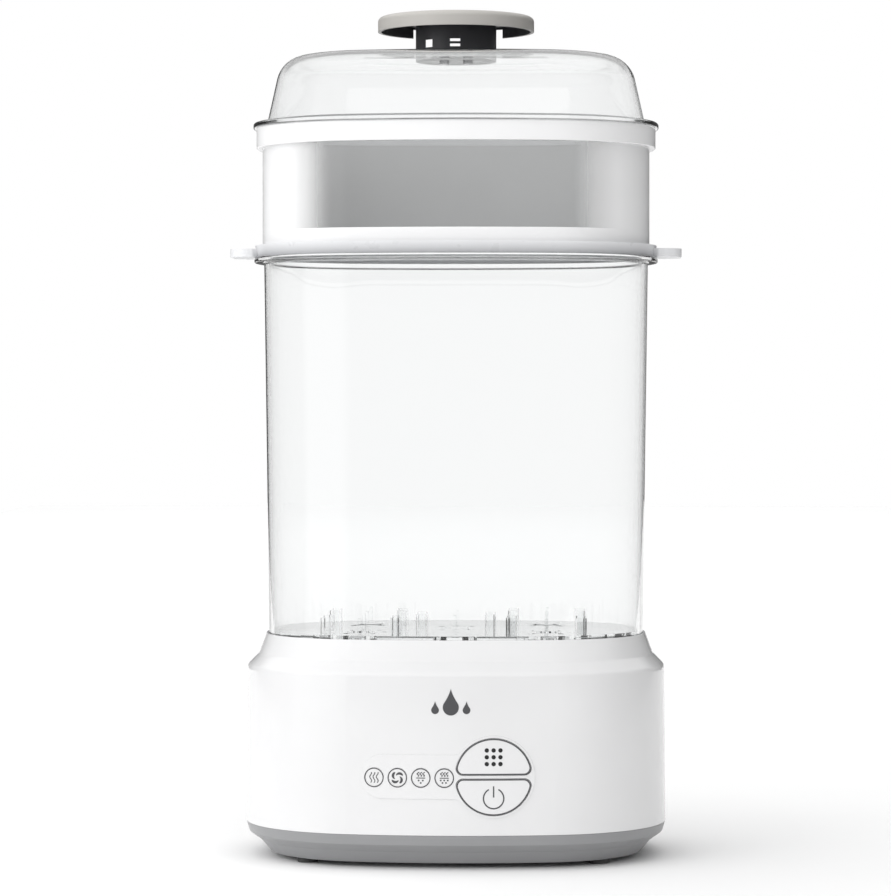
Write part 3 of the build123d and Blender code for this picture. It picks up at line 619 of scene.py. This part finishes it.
# ---- prints on the front ---------------------------------------------------------------------
KEY_X, KEY_Z, KEY_RADIUS = 24.5 * MM, 54.2 * MM, 22.0 * MM
KEY_SPLIT, KEY_CORNER = 1.15 * MM, 4.0 * MM
ICON_FIRST, ICON_PITCH, ICON_Z = -44.1 * MM, 13.46 * MM, 53.6 * MM
PRINT_ROOT, PRINT_DEPTH = -0.15 * MM, 0.12 * MM
BASE_FACE, PAD_FACE, KEY_FACE = 0.0, 0.4 * MM, 0.8 * MM
OUTLINE_INSET, OUTLINE_WIDTH, POWER_WIDTH = 0.42 * MM, 0.72 * MM, 0.75 * MM
RING_RADIUS, RING_WIDTH, MARK_WIDTH = 5.3 * MM, 0.62 * MM, 0.5 * MM
DOT_PITCH, DOT_RADIUS, DRIP_RADIUS = 3.9 * MM, 1.25 * MM, 0.5 * MM
DOTS_Z, POWER_Z, POWER_RADIUS = KEY_Z + 11.4 * MM, KEY_Z - 12.2 * MM, 5.8 * MM
EMBLEM_Z = 94.0 * MM


def front_depth(x, z, proud):
    """Y of the front wall at one place, where it stands proud of the drafted shell."""
    inset = DRAFT * MM * (z / MM - PAN_TOP) / (SHOULDER - PAN_TOP) - proud
    return -(sqrt((LONG_RADIUS - inset) ** 2 - x * x) + LONG_Y)


def finely(points, closed, step=2.0 * MM):
    """The same line with extra points on its long runs, so that it follows the curved wall."""
    out = []
    for n, (x, z) in enumerate(points):
        out.append((x, z))
        if n == len(points) - 1 and not closed:
            break
        nx, nz = points[(n + 1) % len(points)]
        parts = int(hypot(nx - x, nz - z) / step) + 1
        out += [(x + (nx - x) * k / parts, z + (nz - z) * k / parts) for k in range(1, parts)]
    return out


def ribbon(name, strokes, proud, width):
    """Raised ink lines on the front wall. A stroke is (points, closed), with points as (x, z)."""
    vertices, faces = [], []
    for rough, closed in strokes:
        points = finely(rough, closed)
        count = len(points)
        start = len(vertices)
        for n, (x, z) in enumerate(points):
            before = points[n - 1] if closed or n > 0 else points[n]
            after = points[(n + 1) % count] if closed or n < count - 1 else points[n]
            along = Vector((after[0] - before[0], after[1] - before[1])).normalized()
            side = Vector((-along.y, along.x)) * width / 2
            for dx, dz in ((side.x, side.y), (-side.x, -side.y)):
                for lift in (PRINT_ROOT, PRINT_DEPTH):
                    px, pz = x + dx, z + dz
                    vertices.append((px, front_depth(px, pz, proud + lift), pz))
        links = count if closed else count - 1
        for n in range(links):
            a, b = start + 4 * n, start + 4 * ((n + 1) % count)
            faces += [
                (a + 1, a + 3, b + 3, b + 1),
                (a, b, b + 2, a + 2),
                (a, a + 1, b + 1, b),
                (a + 2, b + 2, b + 3, a + 3),
            ]
        if not closed:
            last = start + 4 * (count - 1)
            faces += [(start, start + 2, start + 3, start + 1)]
            faces += [(last, last + 1, last + 3, last + 2)]
    return new_object(name, vertices, faces, INK, smooth=False)


def arc_points(x, z, radius, start, end, count=40):
    """Points on a circle from one angle to another, in degrees."""
    return [
        (x + radius * cos(radians(start + (end - start) * n / count)),
         z + radius * sin(radians(start + (end - start) * n / count)))
        for n in range(count + 1)
    ]


def ring_stroke(x, z, radius, count=48):
    return arc_points(x, z, radius, 0, 360, count)[:-1], True


def patches(name, outlines, proud, material=INK):
    """Raised filled shapes on the front wall, each from its outline of (x, z) points."""
    vertices, faces = [], []
    for outline in outlines:
        start, count = len(vertices), len(outline)
        for lift in (PRINT_ROOT, PRINT_DEPTH):
            vertices += [(x, front_depth(x, z, proud + lift), z) for x, z in outline]
        faces.append(tuple(start + count + n for n in range(count)))
        faces.append(tuple(start + n for n in reversed(range(count))))
        for n in range(count):
            m = (n + 1) % count
            faces.append((start + n, start + m, start + count + m, start + count + n))
    return new_object(name, vertices, faces, material, smooth=False)


def dots(name, centres, radius, proud, material=INK):
    """Small raised round dots."""
    circles = [ring_stroke(x, z, radius, 20)[0] for x, z in centres]
    return patches(name, circles, proud, material)


def printed(obj, body):
    """Carries a print along with its body."""
    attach(obj, body)


def half_moon(up, shrink):
    """Points round one half-moon key, drawn in by shrink. up is 1 for the upper key, else -1."""
    radius = KEY_CORNER - shrink
    edge = KEY_SPLIT + KEY_CORNER
    reach = KEY_RADIUS - KEY_CORNER
    cx = sqrt(reach**2 - edge**2)
    tilt = degrees(atan2(edge, cx))
    big = arc_points(0, 0, KEY_RADIUS - shrink, tilt, 180 - tilt, 48)
    left = arc_points(-cx, edge, radius, 180 - tilt, 270, 10)
    low = arc_points(cx, edge, radius, -90, tilt, 10)
    return [(KEY_X + x, KEY_Z + up * z) for x, z in big + left[1:] + low[:-1]]


for body, up, label in (("mode_key", 1, "mode"), ("power_key", -1, "power")):
    stroke = (half_moon(up, OUTLINE_INSET), True)
    printed(ribbon(label + "_key_outline", [stroke], KEY_FACE, OUTLINE_WIDTH), body)

shifts = (-DOT_PITCH, 0, DOT_PITCH)
grid = [(KEY_X + dx, DOTS_Z + dz) for dx in shifts for dz in shifts]
printed(dots("mode_dots", grid, DOT_RADIUS, KEY_FACE, DOT_INK), "mode_key")
power_strokes = [
    (arc_points(KEY_X, POWER_Z, POWER_RADIUS, 118, 422, 40), False),
    ([(KEY_X, POWER_Z + 0.6 * MM), (KEY_X, POWER_Z + 7.0 * MM)], False),
]
printed(ribbon("power_mark", power_strokes, KEY_FACE, POWER_WIDTH), "power_key")


def steam(x, z, height):
    """One wavy steam line."""
    return [
        (x + 0.55 * MM * sin(2 * pi * n / 12), z + height * (n / 16 - 0.5)) for n in range(17)
    ]


def blade(x, z, turn):
    """The outline of one curved fan blade, a comma that runs round the middle and inwards."""
    outer, inner = [], []
    for n in range(13):
        t = n / 12
        a = radians(turn + 100 * t)
        middle = (3.3 - 1.9 * t**1.6) * MM
        half = 0.95 * MM * sin(pi * t) ** 0.6 * (1 - 0.45 * t)
        for line, radius in ((outer, middle + half), (inner, middle - half)):
            line.append((x + radius * cos(a), z + radius * sin(a)))
    return outer + inner[-2:0:-1]


icon_x = [ICON_FIRST + n * ICON_PITCH for n in range(4)]
rings = [ring_stroke(x, ICON_Z, RING_RADIUS) for x in icon_x]
printed(ribbon("icon_rings", rings, PAD_FACE, RING_WIDTH), "base")
marks = [(steam(icon_x[0] + d * MM, ICON_Z, 6.0 * MM), False) for d in (-1.9, 0, 1.9)]
for x in icon_x[2:]:
    marks += [(steam(x + d * MM, ICON_Z + 2.2 * MM, 2.6 * MM), False) for d in (-1.6, 0, 1.6)]
    marks += [([(x - 2.6 * MM, ICON_Z), (x + 2.6 * MM, ICON_Z)], False)]
printed(ribbon("icon_marks", marks, PAD_FACE, MARK_WIDTH), "base")
blades = [blade(icon_x[1], ICON_Z, 20 + 90 * n) for n in range(4)]
printed(patches("icon_fan", blades, PAD_FACE), "base")
few_drips = ((-1.2, -1.4), (1.2, -1.4), (0, -2.8))
many_drips = ((-2.0, -1.3), (0, -1.3), (2.0, -1.3), (-1.0, -2.7), (1.0, -2.7))
drips = [
    (x + dx * MM, ICON_Z + dz * MM)
    for x, places in zip(icon_x[2:], (few_drips, many_drips)) for dx, dz in places
]
printed(dots("icon_drips", drips, DRIP_RADIUS, PAD_FACE), "base")


def drop_outline(x, z, size):
    """A plain water drop: a round bottom with two sides that meet at the top."""
    points = arc_points(x, z, size, 150, 390, 36)
    tip = (x, z + 2.3 * size)
    right = points[-1]
    side = []
    for t in (0.2, 0.4, 0.6, 0.8):
        bow = 0.10 * size * sin(pi * t)
        side.append((
            right[0] + (tip[0] - right[0]) * t - bow,
            right[1] + (tip[1] - right[1]) * t,
        ))
    other = [(2 * x - px, pz) for px, pz in reversed(side)]
    return points + side + [tip] + other


DROPS = ((0.0, 0.0, 4.6), (-9.0, -1.6, 2.2), (9.0, -1.6, 2.2))
emblem = [drop_outline(x * MM, EMBLEM_Z + z * MM, size * MM) for x, z, size in DROPS]
printed(patches("drop_emblem", emblem, BASE_FACE), "base")

# ---- stage, light, camera --------------------------------------------------------------------
FLOOR = moulded(
    "floor_paint", (0.93, 0.93, 0.93), 0.9, grain=2.0 * MM, depth=0.01 * MM, shade=0.005
)
FLOOR_LEFT, FLOOR_RIGHT, FLOOR_FRONT, FLOOR_BACK = -1.3, 1.3, -1.4, 7.0
floor_corners = [
    (FLOOR_LEFT, FLOOR_FRONT, 0), (FLOOR_RIGHT, FLOOR_FRONT, 0),
    (FLOOR_RIGHT, FLOOR_BACK, 0), (FLOOR_LEFT, FLOOR_BACK, 0),
]
new_object("floor", floor_corners, [(0, 1, 2, 3)], FLOOR)

MATTE_SLOPE, MATTE_LEVEL = (-0.59, -0.36, 0.55), 0.67
GLOSS_FLOOR, GLOSS_WHITE, SEEN_FALL = 0.12, 0.85, 0.65


def studio_world():
    """A white studio.

    Matte surfaces get more light from the front left. Glossy ones mirror a grey room with a white
    ceiling and one tall white panel, which draws the clear edges. Seen through clear plastic, the
    white gets darker upwards.
    """
    world = bpy.data.worlds.new("studio")
    bpy.context.scene.world = world
    world.use_nodes = True
    tree = world.node_tree
    back = tree.nodes["Background"]
    coords = tree.nodes.new("ShaderNodeTexCoord")
    split = tree.nodes.new("ShaderNodeSeparateXYZ")
    tree.links.new(coords.outputs["Generated"], split.inputs["Vector"])
    x, y, z = (split.outputs[n] for n in range(3))
    slope = tree.nodes.new("ShaderNodeVectorMath")
    slope.operation = "DOT_PRODUCT"
    slope.inputs[1].default_value = MATTE_SLOPE
    tree.links.new(coords.outputs["Generated"], slope.inputs[0])
    matte = math_node(tree, "ADD", slope.outputs["Value"], MATTE_LEVEL)
    ceiling = ramp(tree, z, 0.34, 0.5, 0.0, GLOSS_WHITE, smooth=True)
    left, front = (math_node(tree, "MULTIPLY", value, -1.0) for value in (x, y))
    panel = math_node(
        tree,
        "MULTIPLY",
        ramp(tree, left, 0.45, 0.62, 0.0, GLOSS_WHITE, smooth=True),
        ramp(tree, front, 0.1, 0.3, smooth=True),
    )
    room = math_node(tree, "ADD", math_node(tree, "MAXIMUM", ceiling, panel), GLOSS_FLOOR)
    path = tree.nodes.new("ShaderNodeLightPath")
    seen = math_node(
        tree, "MAXIMUM", path.outputs["Is Camera Ray"], path.outputs["Is Transmission Ray"]
    )
    mirrored = path.outputs["Is Glossy Ray"]

    def blend(share, first, second):
        """first where share is 0, second where it is 1."""
        mix = tree.nodes.new("ShaderNodeMix")
        for socket, value in zip(("Factor", "A", "B"), (share, first, second)):
            if isinstance(value, float):
                mix.inputs[socket].default_value = value
            else:
                tree.links.new(value, mix.inputs[socket])
        return mix.outputs["Result"]

    fall = ramp(tree, z, 0.2, 0.45, 0.0, SEEN_FALL, smooth=True)
    through = math_node(tree, "SUBTRACT", 1.0, fall)
    direct = blend(path.outputs["Is Camera Ray"], through, 1.0)
    strength = blend(seen, blend(mirrored, matte, room), direct)
    tree.links.new(strength, back.inputs["Strength"])
    back.inputs["Color"].default_value = (1, 1, 1, 1)


def softbox(name, place, aim, width, height, power):
    """A soft rectangular lamp that no gloss or clear wall mirrors."""
    lamp = bpy.data.lights.new(name, "AREA")
    lamp.shape = "RECTANGLE"
    lamp.size, lamp.size_y = width, height
    lamp.energy = power
    obj = bpy.data.objects.new(name, lamp)
    bpy.context.scene.collection.objects.link(obj)
    obj.visible_glossy = False
    obj.visible_transmission = False
    obj.location = place
    obj.rotation_euler = (Vector(aim) - Vector(place)).to_track_quat("-Z", "Y").to_euler()


studio_world()
MIDDLE = (0, 0, 0.25)
softbox("key_left", (-1.3, -1.5, 1.0), MIDDLE, 1.0, 1.3, 6)
softbox("overhead", (0, 0.3, 2.4), (0, 0.6, 0), 2.6, 2.0, 6)
softbox("far_floor", (0, 4.8, 2.4), (0, 5.0, 0), 2.6, 4.0, 12)

AZIMUTH = radians(2.0)
DISTANCE = 2.154
EYE, LOOK = 0.270, 0.241
SLIDE = -6.3 * MM
camera_data = bpy.data.cameras.new("camera")
camera_data.lens = 145
camera_data.sensor_width = 36
camera = bpy.data.objects.new("camera", camera_data)
bpy.context.scene.collection.objects.link(camera)
ahead = Vector((-sin(AZIMUTH), cos(AZIMUTH), 0))
right = Vector((cos(AZIMUTH), sin(AZIMUTH), 0))
target = SLIDE * right + Vector((0, 0, LOOK))
camera.location = target - DISTANCE * ahead + Vector((0, 0, EYE - LOOK))
camera.rotation_euler = (target - camera.location).to_track_quat("-Z", "Y").to_euler()
bpy.context.scene.camera = camera
bpy.context.scene.view_settings.view_transform = "Standard"
